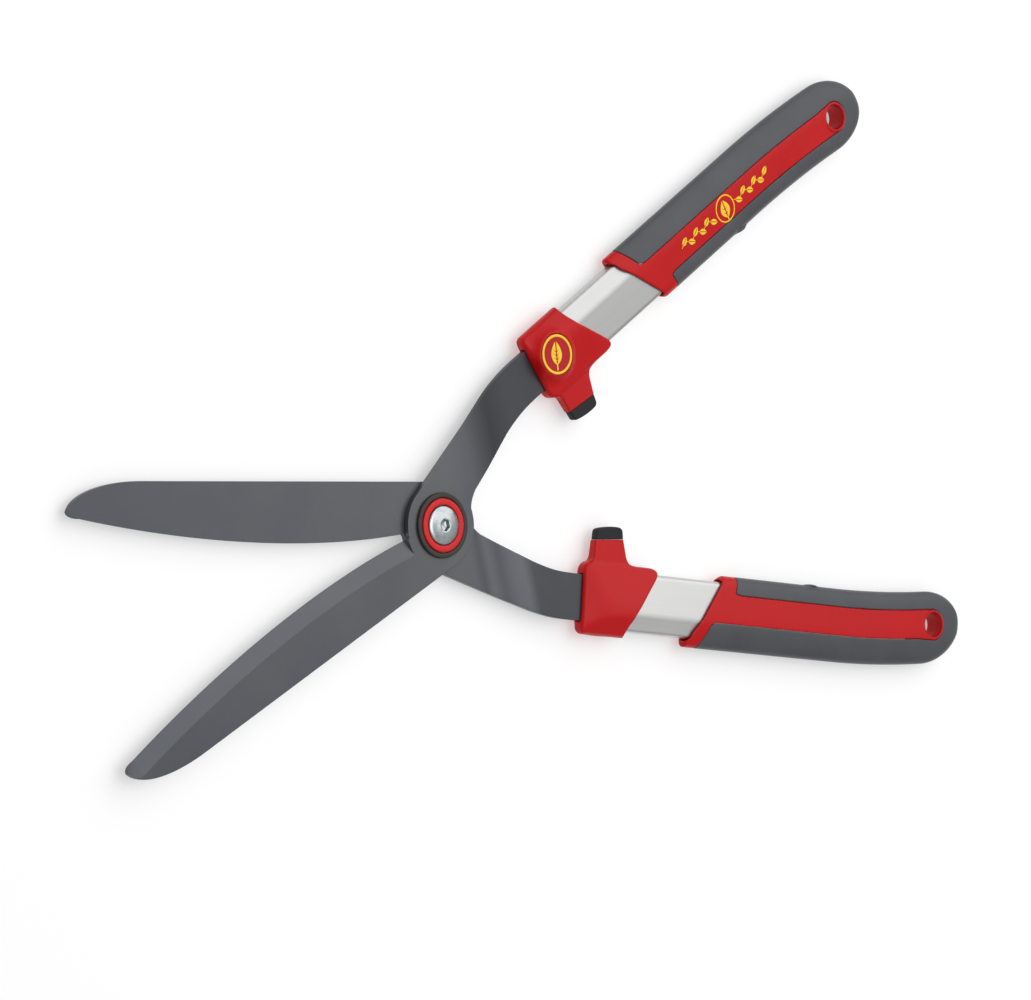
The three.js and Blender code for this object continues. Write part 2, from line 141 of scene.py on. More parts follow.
def round_either(a, b, radius):
    """Inside a or b, with a fillet between them."""
    return -round_both(-a, -b, radius)


def soft_low(a, b, width):
    """The lower of a and b, with the crease between them softened."""
    mix = np.clip(0.5 + 0.5 * (b - a) / width, 0, 1)
    return b + (a - b) * mix - width * mix * (1 - mix)


def slope_of(field, points, step=0.02):
    """The field and its gradient at the points."""
    value = field(points[:, 0], points[:, 1], points[:, 2])
    slope = np.empty_like(points)
    for axis in range(3):
        ahead, behind = points.copy(), points.copy()
        ahead[:, axis] += step
        behind[:, axis] -= step
        slope[:, axis] = (field(*ahead.T) - field(*behind.T)) / (2 * step)
    return value, slope


def surface_net(field, low, high, cell):
    """Quads on the surface where the field is 0."""
    axes = [np.arange(a, b + cell, cell) for a, b in zip(low, high)]
    grid = np.meshgrid(*axes, indexing="ij", sparse=True)
    value = np.array(np.broadcast_to(field(*grid), [len(axis) for axis in axes]))
    inside = value < 0
    counts = np.array(value.shape) - 1
    total = np.zeros(counts, int)
    for corner in np.ndindex(2, 2, 2):
        total += inside[tuple(slice(c, c + n) for c, n in zip(corner, counts))]
    active = (total > 0) & (total < 8)
    index = np.full(counts, -1)
    index[active] = np.arange(active.sum())
    cells = np.argwhere(active)
    place = np.zeros((len(cells), 3))
    hits = np.zeros(len(cells))
    unit = np.eye(3, dtype=int)
    for axis in range(3):
        for corner in np.ndindex(2, 2, 2):
            if corner[axis]:
                continue
            first = cells + corner
            a, b = value[tuple(first.T)], value[tuple((first + unit[axis]).T)]
            crossed = (a < 0) != (b < 0)
            share = np.where(crossed, a / np.where(a == b, 1, a - b), 0)
            place[crossed] += (first + share[:, None] * unit[axis])[crossed]
            hits += crossed
    vertices = np.array(low) + cell * place / hits[:, None]
    quads = []
    for axis in range(3):
        b, c = (axis + 1) % 3, (axis + 2) % 3
        span = [slice(1, -1)] * 3
        span[axis] = slice(0, -1)
        ahead = list(span)
        ahead[axis] = slice(1, None)
        start = inside[tuple(span)]
        changed = start != inside[tuple(ahead)]
        nodes = np.argwhere(changed) + [0 if i == axis else 1 for i in range(3)]
        steps = ((0, 0), (1, 0), (1, 1), (0, 1))
        around = np.stack([index[tuple((nodes - s * unit[b] - t * unit[c]).T)] for s, t in steps], axis=1)
        leaving = start[changed]
        quads.append(np.where(leaving[:, None], around, around[:, ::-1]))
    return vertices, np.concatenate(quads)


def thin_out(vertices, faces, keep):
    """Fewer faces where the surface is flat."""
    mesh = bpy.data.meshes.new("thinning")
    mesh.from_pydata(vertices.tolist(), [], faces.tolist())
    holder = link_object("thinning", mesh)
    modifier = holder.modifiers.new("thin", "DECIMATE")
    modifier.ratio = keep
    evaluated = holder.evaluated_get(bpy.context.evaluated_depsgraph_get())
    thinned = evaluated.to_mesh()
    points = np.empty(len(thinned.vertices) * 3)
    thinned.vertices.foreach_get("co", points)
    kept = [tuple(face.vertices) for face in thinned.polygons]
    evaluated.to_mesh_clear()
    bpy.data.objects.remove(holder)
    bpy.data.meshes.remove(mesh)
    return points.reshape(-1, 3), kept


def moulded(field, low, high, cell, keep):
    """The field's surface, thinned and then settled back onto it: vertices, faces, normals."""
    vertices, faces = surface_net(field, low, high, cell)
    points, kept = thin_out(vertices, faces, keep)
    for _ in range(SETTLING_ROUNDS):
        value, slope = slope_of(field, points)
        move = slope * (value / np.maximum((slope ** 2).sum(axis=1), 0.2))[:, None]
        points -= np.clip(move, -0.3 * cell, 0.3 * cell)
    _, slope = slope_of(field, points)
    normals = slope / np.maximum(np.linalg.norm(slope, axis=1), 1e-9)[:, None]
    return points, kept, normals


def moulded_pieces(name, shape, node, material):
    """The same moulding on both halves. The shape is in handle coordinates."""
    points, faces, normals = shape
    for side in SIDES:
        vertices = to_row(handle_to_half(points), side)
        turned_normals = turn_handle(normals) * side_signs(side)
        piece = make_object(f"{side}_{name}", vertices, faces, material, normals=turned_normals)
        install(piece, f"{side}_{node}", f"{side}_half")


# --- curves ---

def bezier(*controls, steps):
    """Points on the curve of three or four control points."""
    t = np.linspace(0, 1, steps + 1)[:, None]
    s = 1 - t
    p = [np.array(c, float) for c in controls]
    if len(p) == 3:
        return s ** 2 * p[0] + 2 * t * s * p[1] + t ** 2 * p[2]
    return s ** 3 * p[0] + 3 * t * s ** 2 * p[1] + 3 * t ** 2 * s * p[2] + t ** 3 * p[3]


def arc(centre, radius, start, end, steps):
    """Points on an arc between two angles in degrees."""
    angle = np.radians(np.linspace(start, end, steps + 1))
    return np.stack([centre[0] + radius * np.cos(angle), centre[1] + radius * np.sin(angle)], axis=1)


def chain(*parts):
    """One open polyline of points and polylines, without repeats."""
    points = []
    for part in parts:
        for point in np.atleast_2d(np.asarray(part, float)):
            if not points or math.dist(point, points[-1]) > 1e-4:
                points.append((float(point[0]), float(point[1])))
    if math.dist(points[0], points[-1]) < 1e-4:
        points.pop()
    return points


def anticlockwise(outline):
    area = sum(ax * by - bx * ay for (ax, ay), (bx, by) in zip(outline, outline[1:] + outline[:1]))
    return outline if area > 0 else outline[::-1]


# --- materials ---

def linear(red, green, blue):
    """Linear colour of an sRGB colour in 0-255."""
    values = [channel / 255 for channel in (red, green, blue)]
    return [v / 12.92 if v <= 0.04045 else ((v + 0.055) / 1.055) ** 2.4 for v in values] + [1.0]


class Finish:
    """A node material around one Principled shader."""

    def __init__(self, name):
        self.material = bpy.data.materials.new(name)
        self.material.use_nodes = True
        self.nodes = self.material.node_tree.nodes
        self.links = self.material.node_tree.links
        self.shader = self.nodes["Principled BSDF"]
        self.place = self.add("ShaderNodeTexCoord").outputs["Object"]

    def add(self, kind, **settings):
        node = self.nodes.new(kind)
        for key, value in settings.items():
            setattr(node, key, value)
        return node

    def set(self, **values):
        for key, value in values.items():
            self.shader.inputs[key.replace("_", " ")].default_value = value

    def mapped(self, scale=(1, 1, 1), turn=(0, 0, 0)):
        mapping = self.add("ShaderNodeMapping", vector_type="TEXTURE")
        mapping.inputs["Rotation"].default_value = [math.radians(a) for a in turn]
        mapping.inputs["Scale"].default_value = [1 / factor for factor in scale]
        self.links.new(self.place, mapping.inputs["Vector"])
        return mapping.outputs["Vector"]

    def noise(self, size, detail=3, rough=0.5, stretch=(1, 1, 1), turn=(0, 0, 0)):
        """Noise with features of about that size, in millimetres."""
        node = self.add("ShaderNodeTexNoise")
        node.inputs["Scale"].default_value = 1 / (size * MM)
        node.inputs["Detail"].default_value = detail
        node.inputs["Roughness"].default_value = rough
        self.links.new(self.mapped(stretch, turn), node.inputs["Vector"])
        return node.outputs["Fac"]

    def spread(self, value, low, high, start=0.3, end=0.7):
        """The value's range from start to end, moved to low to high."""
        node = self.add("ShaderNodeMapRange")
        node.inputs["From Min"].default_value = start
        node.inputs["From Max"].default_value = end
        node.inputs["To Min"].default_value = low
        node.inputs["To Max"].default_value = high
        self.links.new(value, node.inputs["Value"])
        return node.outputs["Result"]

    def colours(self, value, *stops):
        """A colour ramp. Each stop is (position, colour)."""
        ramp = self.add("ShaderNodeValToRGB")
        elements = ramp.color_ramp.elements
        while len(elements) < len(stops):
            elements.new(0.5)
        for element, (position, colour) in zip(elements, stops):
            element.position = position
            element.color = colour
        self.links.new(value, ramp.inputs["Fac"])
        return ramp.outputs["Color"]

    def mixed(self, factor, first, second, blend="MIX"):
        node = self.add("ShaderNodeMix", data_type="RGBA", blend_type=blend)
        node.inputs["Factor"].default_value = factor
        colour_a, colour_b, result = node.inputs[6], node.inputs[7], node.outputs[2]
        self.links.new(first, colour_a)
        self.links.new(second, colour_b)
        return result

    def base(self, colour):
        self.links.new(colour, self.shader.inputs["Base Color"])

    def rough(self, value):
        self.links.new(value, self.shader.inputs["Roughness"])

    def bump(self, *layers):
        """Each layer is (height, distance in mm, strength)."""
        normal = None
        for height, distance, strength in layers:
            node = self.add("ShaderNodeBump")
            node.inputs["Distance"].default_value = distance * MM
            node.inputs["Strength"].default_value = strength
            self.links.new(height, node.inputs["Height"])
            if normal is not None:
                self.links.new(normal, node.inputs["Normal"])
            normal = node.outputs["Normal"]
        self.links.new(normal, self.shader.inputs["Normal"])


def finish(name, dark, light, gloss, cloud_size, grain, grain_detail=3, **settings):
    """A colour and a roughness that drift over clouds, on a grain of (size, height, strength)."""
    f = Finish(name)
    f.set(**settings)
    clouds = f.noise(cloud_size)
    size, height, strength = grain
    f.base(f.colours(clouds, (0.3, linear(*dark)), (0.7, linear(*light))))
    f.rough(f.spread(clouds, *gloss))
    f.bump((f.noise(size, detail=grain_detail), height, strength))
    return f.material


def coated_steel(side, painted_tang_bands):
    """Dark coating, with painted shade and light along X: darker towards the tip, lighter near the boss, and
    painted reflection bands of light and shade across the tang.
    """
    f = Finish(f"{side}_coated_steel")
    f.set(Metallic=0.55, Specular_IOR_Level=0.5)
    clouds = f.noise(34, detail=4)
    grain = f.noise(0.5, detail=2)
    shade = f.colours(clouds, (0.3, linear(79, 82, 87)), (0.7, linear(88, 90, 94)))
    speck = f.colours(grain, (0.35, linear(150, 150, 150)), (0.65, linear(170, 170, 170)))
    split = f.add("ShaderNodeSeparateXYZ")
    f.links.new(f.place, split.inputs["Vector"])
    tip, collar = -230 * MM, 120 * MM
    along = f.spread(split.outputs["X"], 0.0, 1.0, tip, collar)
    # Painted shade: the flat blade is darker towards the tip and lighter at the boss.
    painted_blade_shade = [(0.0, [0.78, 0.8, 0.84, 1]), (0.5, [0.95, 0.96, 0.97, 1]), (0.68, [1.06, 1.04, 1.0, 1])]
    # Painted light and shade in bands across the tang.
    painted_tang_shade = [(at, [0.98 * level, 0.99 * level, 1.03 * level, 1]) for at, level in painted_tang_bands]
    tone_and_painted_shade = f.colours(along, *painted_blade_shade, *painted_tang_shade)
    f.base(f.mixed(1.0, f.mixed(0.06, shade, speck), tone_and_painted_shade, "MULTIPLY"))
    lines = f.noise(0.6, detail=2, stretch=(0.03, 1, 1), turn=(0, 0, 15))
    f.rough(f.spread(f.mixed(0.5, clouds, lines), 0.33, 0.43))
    f.bump((grain, 0.02, 0.25), (lines, 0.012, 0.3))
    return f.material


def aluminium(side, degrees, tone_and_painted_shade):
    """Drawn tube: fine lines along the handle, which lies at that angle to X. The tone is the tube's grey,
    with painted shade where one copy is set darker.
    """
    f = Finish(f"{side}_aluminium_tube")
    f.set(Metallic=1.0)
    drawn = f.noise(0.5, detail=3, stretch=(0.006, 1, 1), turn=(0, 0, degrees))
    clouds = f.noise(18)
    dull, bright = tone_and_painted_shade - 3, tone_and_painted_shade + 3
    f.base(f.colours(drawn, (0.3, linear(dull, dull, dull - 1)), (0.7, linear(bright, bright, bright - 1))))
    f.rough(f.spread(f.mixed(0.5, drawn, clouds), 0.38, 0.46))
    f.bump((drawn, 0.004, 0.05))
    return f.material


def zinc():
    """Bright plating with a cool and a yellowish cast."""
    f = Finish("zinc_plate")
    f.set(Metallic=1.0)
    clouds = f.noise(3.2, detail=4, rough=0.6)
    casts = [(0.3, linear(160, 170, 175)), (0.55, linear(186, 190, 191)), (0.75, linear(176, 174, 166))]
    f.base(f.colours(clouds, *casts))
    f.rough(f.spread(f.noise(6, detail=2), 0.18, 0.3))
    f.bump((f.noise(0.8, detail=3), 0.01, 0.25))
    return f.material


# Painted reflection bands of light and shade across each tang, where it bends. Each band is (share of the way
# from tip to collar, brightness).
PAINTED_TANG_BANDS = {
    "front": [(0.7, 1.02), (0.737, 0.9), (0.762, 0.58), (0.79, 0.32), (0.81, 0.4), (0.837, 0.49),
              (0.93, 0.48)],
    "rear": [(0.709, 1.04), (0.726, 0.76), (0.741, 1.15), (0.761, 0.77), (0.782, 1.06), (0.803, 1.16),
             (0.82, 0.65)],
}
STEEL = {side: coated_steel(side, PAINTED_TANG_BANDS[side]) for side in SIDES}
RED = finish("red_plastic", (185, 8, 14), (192, 13, 18), (0.3, 0.38), 22, (0.45, 0.02, 0.22),
             grain_detail=2, IOR=1.5, Specular_IOR_Level=0.22)
SOFT = finish("soft_grip", (71, 72, 77), (79, 80, 84), (0.36, 0.46), 26, (0.35, 0.025, 0.35),
              grain_detail=2, IOR=1.45, Specular_IOR_Level=0.45)
BLACK = finish("black_rubber", (26, 27, 30), (34, 35, 38), (0.55, 0.68), 9, (0.4, 0.03, 0.4),
               grain_detail=2, IOR=1.45, Specular_IOR_Level=0.35)
SEAL = finish("seal_rubber", (44, 40, 36), (56, 51, 46), (0.45, 0.58), 7, (0.5, 0.02, 0.3),
              IOR=1.45)
GLOSS_RED = finish("gloss_red", (198, 12, 18), (206, 18, 22), (0.24, 0.32), 6, (0.6, 0.01, 0.2),
                   IOR=1.5, Specular_IOR_Level=0.35)
# The front tube is given a darker tone than the rear one as painted shade; both are the same metal.
ALUMINIUM = {"front": aluminium("front", 19.5, 194), "rear": aluminium("rear", -19.5, 210)}
ZINC = zinc()
SPRING = finish("spring_steel", (140, 141, 143), (168, 168, 168), (0.28, 0.4), 3, (0.5, 0.01, 0.25),
                Metallic=1.0)
BRONZE = finish("bronze_bush", (168, 124, 66), (190, 146, 84), (0.3, 0.45), 3, (0.4, 0.012, 0.3),
                Metallic=1.0)
BLACK_PLASTIC = finish("black_plastic", (30, 31, 33), (40, 41, 43), (0.45, 0.6), 8, (0.5, 0.02, 0.3),
                       IOR=1.5)
YELLOW = finish("yellow_print", (240, 196, 20), (247, 208, 34), (0.36, 0.46), 4, (0.4, 0.01, 0.2),
                IOR=1.5)
FIELD = finish("badge_field", (172, 12, 22), (182, 16, 26), (0.36, 0.44), 4, (0.4, 0.01, 0.2),
               IOR=1.5, Specular_IOR_Level=0.25)


# --- tube ---

TUBE_HALF, TUBE_RIDGE, TUBE_TOP = 16.15, 6.5, 5.4
TUBE_INNER, TUBE_OUTER, TUBE_WALL = 3.4, 3.6, 1.2  # heights where the faces meet the edges, and the wall
TUBE_START, TUBE_END = 112.0, 343.0


def tube_section(inset=0.0, steps=6):
    """The tube's section in (v, z): a flattened lens with its ridge nearer the outer edge."""
    half, top = TUBE_HALF - inset, TUBE_TOP - inset
    inner, outer = TUBE_INNER - inset, TUBE_OUTER - inset
    upper = chain(
        bezier((-half, 0), (-half, inner), (3.2 - half, inner), steps=steps),
        bezier((TUBE_RIDGE - 2, top - 0.2), (TUBE_RIDGE, top), (TUBE_RIDGE + 1.6, top - 0.4), steps=steps),
        bezier((half - 2.6, outer), (half, outer), (half, 0), steps=steps),
    )
    return upper + [(v, -z) for v, z in reversed(upper[1:-1])]


def outward(vertices, faces):
    """The same faces, turned outwards if their volume is negative."""
    volume = 0.0
    for face in faces:
        a = vertices[face[0]]
        for b, c in zip(face[1:-1], face[2:]):
            volume += float(np.dot(a, np.cross(vertices[b], vertices[c])))
    return faces if volume > 0 else [tuple(reversed(face)) for face in faces]


def loft(rings, close=False):
    """The body between rings of equal length, with end faces unless it closes on itself."""
    vertices = np.array([point for ring in rings for point in ring], float)
    size, count = len(rings[0]), len(rings)
    faces = []
    for i in range(count if close else count - 1):
        a, b = i * size, (i + 1) % count * size
        for j in range(size):
            k = (j + 1) % size
            faces.append((a + j, a + k, b + k, b + j))
    if not close:
        faces += [tuple(range(size))[::-1], tuple(range((count - 1) * size, count * size))]
    return vertices, outward(vertices, faces)


def tubes():
    stations = np.linspace(TUBE_START, TUBE_END, 24)
    outside = [[(u, v, z) for v, z in tube_section()] for u in stations]
    inside = [[(u, v, z) for v, z in tube_section(TUBE_WALL)] for u in stations[::-1]]
    vertices, faces = loft(outside + inside, close=True)
    for side in SIDES:
        placed = to_row(handle_to_half(vertices), side)
        piece = make_object(f"{side}_tube_profile", placed, faces, ALUMINIUM[side], sharp=30)
        install(piece, f"{side}_tube", f"{side}_half")


tubes()


# --- collar and bumper cap ---

COLLAR_TOP, COLLAR_START = 8.5, 101.2
PAD_AT, PAD_RADIUS = (114.0, 1.5), 11.7
RECESS_RADIUS, RECESS_FLOOR = 10.9, 7.2  # where the badge lies in the pad
SLOT_HALF, SLOT_TOP, SLOT_END = 12.6, 1.8, 114.0  # where the tang goes in
ARM_TOP = 2.4
ARM_TIP, ARM_ROOT = (109.4, 129.2), (108.0, 131.6)  # from u to u, at its end and where it leaves the body
CAP_LINE, CAP_SLOPE, CAP_TIP = -31.0, -0.087, -38.4


def collar_outline():
    start = COLLAR_START
    return chain(
        bezier((start, -14), (start + 0.3, -18.6), (start + 4.5, -19.3), steps=8),
        bezier((147.6, -19.3), (156.6, -19.3), (153.1, -13.5), steps=10),
        bezier((137.3, 6), (133.6, 10.5), (132.6, 19.2), steps=10),
        bezier((start + 3.4, 19.2), (start, 19.2), (start, 15.6), steps=8),
    )


def collar_height(u, v):
    """Half thickness of the collar's body, which is lowest at the end towards the blade."""
    inner_plane = 4 + (v + 17.6) * (COLLAR_TOP - 4) / 21.6
    outer_plane = COLLAR_TOP - (v - 9) * 0.6
    nose = 3.6 + (u - COLLAR_START) * 0.32
    height = soft_low(inner_plane, outer_plane, 1.2)
    height = soft_low(height, COLLAR_TOP, 0.8)
    return soft_low(height, nose, 2.2)


def arm_outline():
    low, high = ARM_ROOT
    return chain(
        (low - 3, -12), (low - 3, -18.5),
        bezier((low - 3, -18.5), (low + 0.4, -20), (low + 0.6, -24), steps=8),
        (ARM_TIP[0] - 0.08, CAP_LINE - 6), (ARM_TIP[1] - 0.35, CAP_LINE - 8),
        (ARM_TIP[1], CAP_LINE - 1.7),
        bezier((high - 0.6, -25.5), (high + 0.2, -19.6), (high + 6.5, -18.5), steps=10),
        (high + 6.5, -12),
    )


def cap_line(u, v):
    """Signed distance beyond the line where the bumper cap starts."""
    return (CAP_LINE + CAP_SLOPE * (u - ARM_TIP[0]) - v) / math.hypot(1, CAP_SLOPE)


def tube_hull(v, z, offset):
    """Signed distance to the tube's section, grown by offset and endless along u."""
    return polygon_distance(tube_section(steps=4), v, z) - offset


def collar_field(u, v, z):
    height = collar_height(u, v)
    body = round_both(polygon_distance(collar_outline(), u, v), (np.abs(z) - height) * 0.9, 1.8)
    arm_top = ARM_TOP + 0.055 * np.maximum(v - CAP_LINE, 0)
    arm = round_both(polygon_distance(arm_outline(), u, v), np.abs(z) - arm_top, 1.0)
    arm = round_both(arm, cap_line(u, v), 0.3)
    body = round_either(body, arm, 1.3)
    around = np.hypot(u - PAD_AT[0], v - PAD_AT[1])
    shoulder = (around - PAD_RADIUS - 0.75 * (COLLAR_TOP - z)) / 1.25
    pad = round_both(shoulder, np.abs(z - COLLAR_TOP / 2) - COLLAR_TOP / 2, 0.9)
    pad = round_both(pad, polygon_distance(collar_outline(), u, v), 1.8)
    body = round_either(body, pad, 2.0)
    body = np.maximum(body, np.abs(z) - COLLAR_TOP)
    socket = np.maximum(tube_hull(v, z, GAP), TUBE_START - GAP - u)
    body = round_both(body, -socket, 0.5)
    slot = np.maximum(np.maximum(np.abs(v) - SLOT_HALF, np.abs(z) - SLOT_TOP), u - SLOT_END)
    body = round_both(body, -slot, 0.4)
    recess = np.maximum(around - RECESS_RADIUS, RECESS_FLOOR - z)
    return round_both(body, -recess, 0.25)


def cap_outline():
    low, high = ARM_TIP
    middle = (low + high) / 2

    def at(u, v):
        return u, v + CAP_SLOPE * (u - low)

    shoulder = CAP_TIP + 1.6
    return chain(
        (low - 0.03, CAP_LINE + 3), (low, CAP_LINE - GAP), (low + 0.3, shoulder + 1.4),
        bezier((low + 0.3, shoulder + 1.4), (low + 0.4, shoulder), (low + 2.2, shoulder - 0.6), steps=6),
        bezier((low + 2.2, shoulder - 0.6), (middle, CAP_TIP - 0.3 + CAP_SLOPE * 8),
               at(high - 2.8, shoulder - 0.6), steps=10),
        bezier(at(high - 2.8, shoulder - 0.6), at(high - 1, shoulder), at(high - 0.6, shoulder + 1.6),
               steps=6),
        at(high, CAP_LINE - GAP), at(high + 0.1, CAP_LINE + 3),
    )


def cap_field(u, v, z):
    crown = ARM_TOP - 0.0015 * (u - 118.2) ** 2
    body = round_both(polygon_distance(cap_outline(), u, v), np.abs(z) - crown, 1.1)
    return round_both(body, 0.12 - cap_line(u, v), 0.3)


moulded_pieces("collar_moulding", moulded(collar_field, (98, -36, -9.5), (158, 21.5, 9.5), 0.42, keep=0.2),
               "collar", RED)
moulded_pieces("bumper_cap_moulding", moulded(cap_field, (107, -42.5, -3.5), (132, -29, 3.5), 0.3, keep=0.3),
               "bumper_cap", BLACK)


# --- grip ---

GRIP_HALF, GRIP_TOP, GRIP_CENTRE = 20.2, 7.4, 0.5
RIDGE_TOP, RIDGE_AT, FACE_SLOPE = 7.25, 7.4, 0.105
GRIP_ROUND_FROM, GRIP_END = 361.0, 389.5
BEND_FROM, BEND = 290.0, 0.00077
SQUARENESS = 2.05
SHELL = 1.4  # thickness of the soft sleeve
INLAY = (-9.4, 6.3)  # from v to v, the strip left red
HOLE_AT, HOLE_RADIUS, HOLE_RIM = (365.0, -5.2), 6.8, 8.4
RIM_RADIUS, RIM_TOP = 8.2, 5.9
CORE_START = 215.0  # where the core starts to fill the sleeve
MOUTH_DEPTH = 3.5  # how far the bore for the tube flares at the lip
MARK_AT, MARK_LONG, MARK_PROUD, MARK_TOP = (272.0, -19.5), 4.0, 0.95, 3.4
LIP_LINE = [
    (165, 40), (176, 20.5), (180.5, 11.5), (199.5, -14.5), (203.5, -20.5), (208, -40), (500, -40), (500, 40)]


def grip_centre(u):
    """The grip's middle, which bends inwards towards its end."""
    return GRIP_CENTRE - BEND * np.maximum(0, u - BEND_FROM) ** 2


def smoothstep(value, start, end):
    t = np.clip((value - start) / (end - start), 0, 1)
    return t * t * (3 - 2 * t)


def grip_end(u, inset):
    """How far the rounded end has closed, in width and in height."""
    t = np.clip((u - GRIP_ROUND_FROM) / (GRIP_END - inset - GRIP_ROUND_FROM), 0, None)
    closing = np.sqrt(np.maximum(1 - t * t, 1e-4))
    return t, closing, (1 - 0.14 * smoothstep(u, 320, 380)) * closing ** 0.7


def grip_face(u, v, inset=0.0):
    """Half thickness of the broad face, which falls away on the inner side of its ridge."""
    reach = RIDGE_AT - (v - grip_centre(u))
    fall = 0.5 * (reach + np.sqrt(reach * reach + 0.8))
    return RIDGE_TOP - FACE_SLOPE * fall - 0.6 * inset


def grip_raw(u, v, z, inset):
    """Below 0 inside the grip's rounded section, but not yet a distance."""
    t, closing, lowering = grip_end(u, inset)
    width = (GRIP_HALF - inset) * closing
    height = (GRIP_TOP - inset) * lowering
    side = (np.abs(v - grip_centre(u)) / width) ** SQUARENESS
    up = (np.abs(z) / height) ** SQUARENESS
    return (side + up) ** (1 / SQUARENESS) - 1 + np.maximum(t - 1, 0)


def grip_distance(u, v, z, inset):
    """Distance to the grip's outside, or to the same shape shrunk by inset."""
    step = 0.05
    value = grip_raw(u, v, z, inset)
    steep = [(grip_raw(u + a, v + b, z + c, inset) - value) / step for a, b, c in np.eye(3) * step]
    body = value / np.maximum(np.sqrt(sum(s * s for s in steep)), 0.02)
    return round_both(body, np.abs(z) - grip_face(u, v, inset) * grip_end(u, inset)[2], 0.9)


def inlay_outline():
    """The part of the grip's face left red, seen from above."""
    low, high = INLAY
    path = np.linspace(BEND_FROM, 352, 12)
    bend = grip_centre(path) - GRIP_CENTRE
    return chain(
        (150, -40), (213.5, -40), (213.5, -20),
        bezier((211, low - 1.5), (211.3, low), (217, low), steps=8),
        np.stack([path, bend + low], axis=1),
        arc(HOLE_AT, HOLE_RIM, -97, 83, steps=28),
        np.stack([path, bend + high], axis=1)[::-1],
        bezier((198, high), (194, high), (192, high + 2), steps=8),
        (186, 20), (180, 40), (150, 40),
    )


def moulding_mark(u, v, z):
    """A small bump on the grip's inner edge."""
    across = ((u - MARK_AT[0]) / MARK_LONG) ** 2 + ((v - MARK_AT[1]) / MARK_PROUD) ** 2
    return (np.sqrt(across + (z / MARK_TOP) ** 2) - 1) * MARK_PROUD


def core_field(u, v, z):
    inlay, lip = polygon_distance(inlay_outline(), u, v), polygon_distance(LIP_LINE, u, v)
    around = np.hypot(u - HOLE_AT[0], v - HOLE_AT[1])
    face = round_both(grip_distance(u, v, z, 0.0) + 0.06, inlay, 0.4)
    face = round_both(face, lip, 1.9)
    face = round_either(face, round_both(around - RIM_RADIUS, np.abs(z) - RIM_TOP, 0.6), 0.5)
    body = np.minimum(face, np.maximum(grip_distance(u, v, z, SHELL), CORE_START - u))
    mouth = GAP + 0.9 * np.clip((lip + MOUTH_DEPTH) / MOUTH_DEPTH, 0, 1)
    bore = np.maximum(tube_hull(v, z, mouth), u - TUBE_END - GAP)
    body = round_both(body, -bore, 0.5)
    return round_both(body, HOLE_RADIUS - around, 0.5)


def sleeve_field(u, v, z):
    outside = round_either(grip_distance(u, v, z, 0.0), moulding_mark(u, v, z), 0.8)
    shell = round_both(outside, GAP - polygon_distance(inlay_outline(), u, v), 0.5)
    shell = np.maximum(shell, -grip_distance(u, v, z, SHELL - GAP))
    bore = np.maximum(tube_hull(v, z, GAP), u - TUBE_END - GAP)
    return np.maximum(shell, -bore)


moulded_pieces("grip_core_moulding", moulded(core_field, (170, -33, -8), (392, 23, 8), 0.5, keep=0.26),
               "grip_core", RED)
moulded_pieces("grip_sleeve_moulding", moulded(sleeve_field, (176, -33, -8), (392, 23, 8), 0.5, keep=0.22),
               "grip_sleeve", SOFT)


# --- blades ---

BLADE_LOW, BLADE_THICK = 0.15, 3.0
BLADE_TOP = BLADE_LOW + BLADE_THICK
BOSS_RADIUS, BOLT_HOLE = 22.5, 6.3
HEEL, EDGE_END, TIP = (-23.6, -1.6), (-222.3, -60.8), (-228.4, -65.8)
EDGE_START_ANGLE, EDGE_END_ANGLE, EDGE_HANDLE = 6.5, 24.5, 65.0
SPINE_ANGLE, SPINE_END_X = math.radians(14.3), -182.0
BEVEL_WIDTH, BEVEL_LAND, BEVEL_STOP, BEVEL_WALL = 8.8, 0.4, 23.6, 3.0
BEVEL_RISE = BLADE_THICK - BEVEL_LAND
TANG_ROOT_ANGLE = 34.7
TANG_HALF, TANG_SHOULDER, TANG_END, INSERT_HALF = 12.3, 111.0, 150.0, 9.0
JOGGLE = (36.0, 74.0)  # from u to u, where the tang steps down
PIN_AT, PIN_HOLE = (122.0, 138.0), 2.3
RIM_SOFTNESS, RIM_MIDDLE = 0.32, 0.3
SLIVER = 0.004  # a triangle whose middle is nearer than this to a rim is left out


def polar(angle, start, length):
    turn = math.radians(angle)
    return start[0] + length * math.cos(turn), start[1] + length * math.sin(turn)


def cutting_edge(steps):
    leave = polar(180 + EDGE_START_ANGLE, HEEL, EDGE_HANDLE)
    arrive = polar(EDGE_END_ANGLE, EDGE_END, EDGE_HANDLE)
    return bezier(HEEL, leave, arrive, EDGE_END, steps=steps)


def spine_y(x):
    return -(BOSS_RADIUS - x * math.sin(SPINE_ANGLE)) / math.cos(SPINE_ANGLE)


def straight(start, end, count):
    share = np.linspace(0, 1, count)[:, None]
    return np.array(start) * (1 - share) + np.array(end) * share


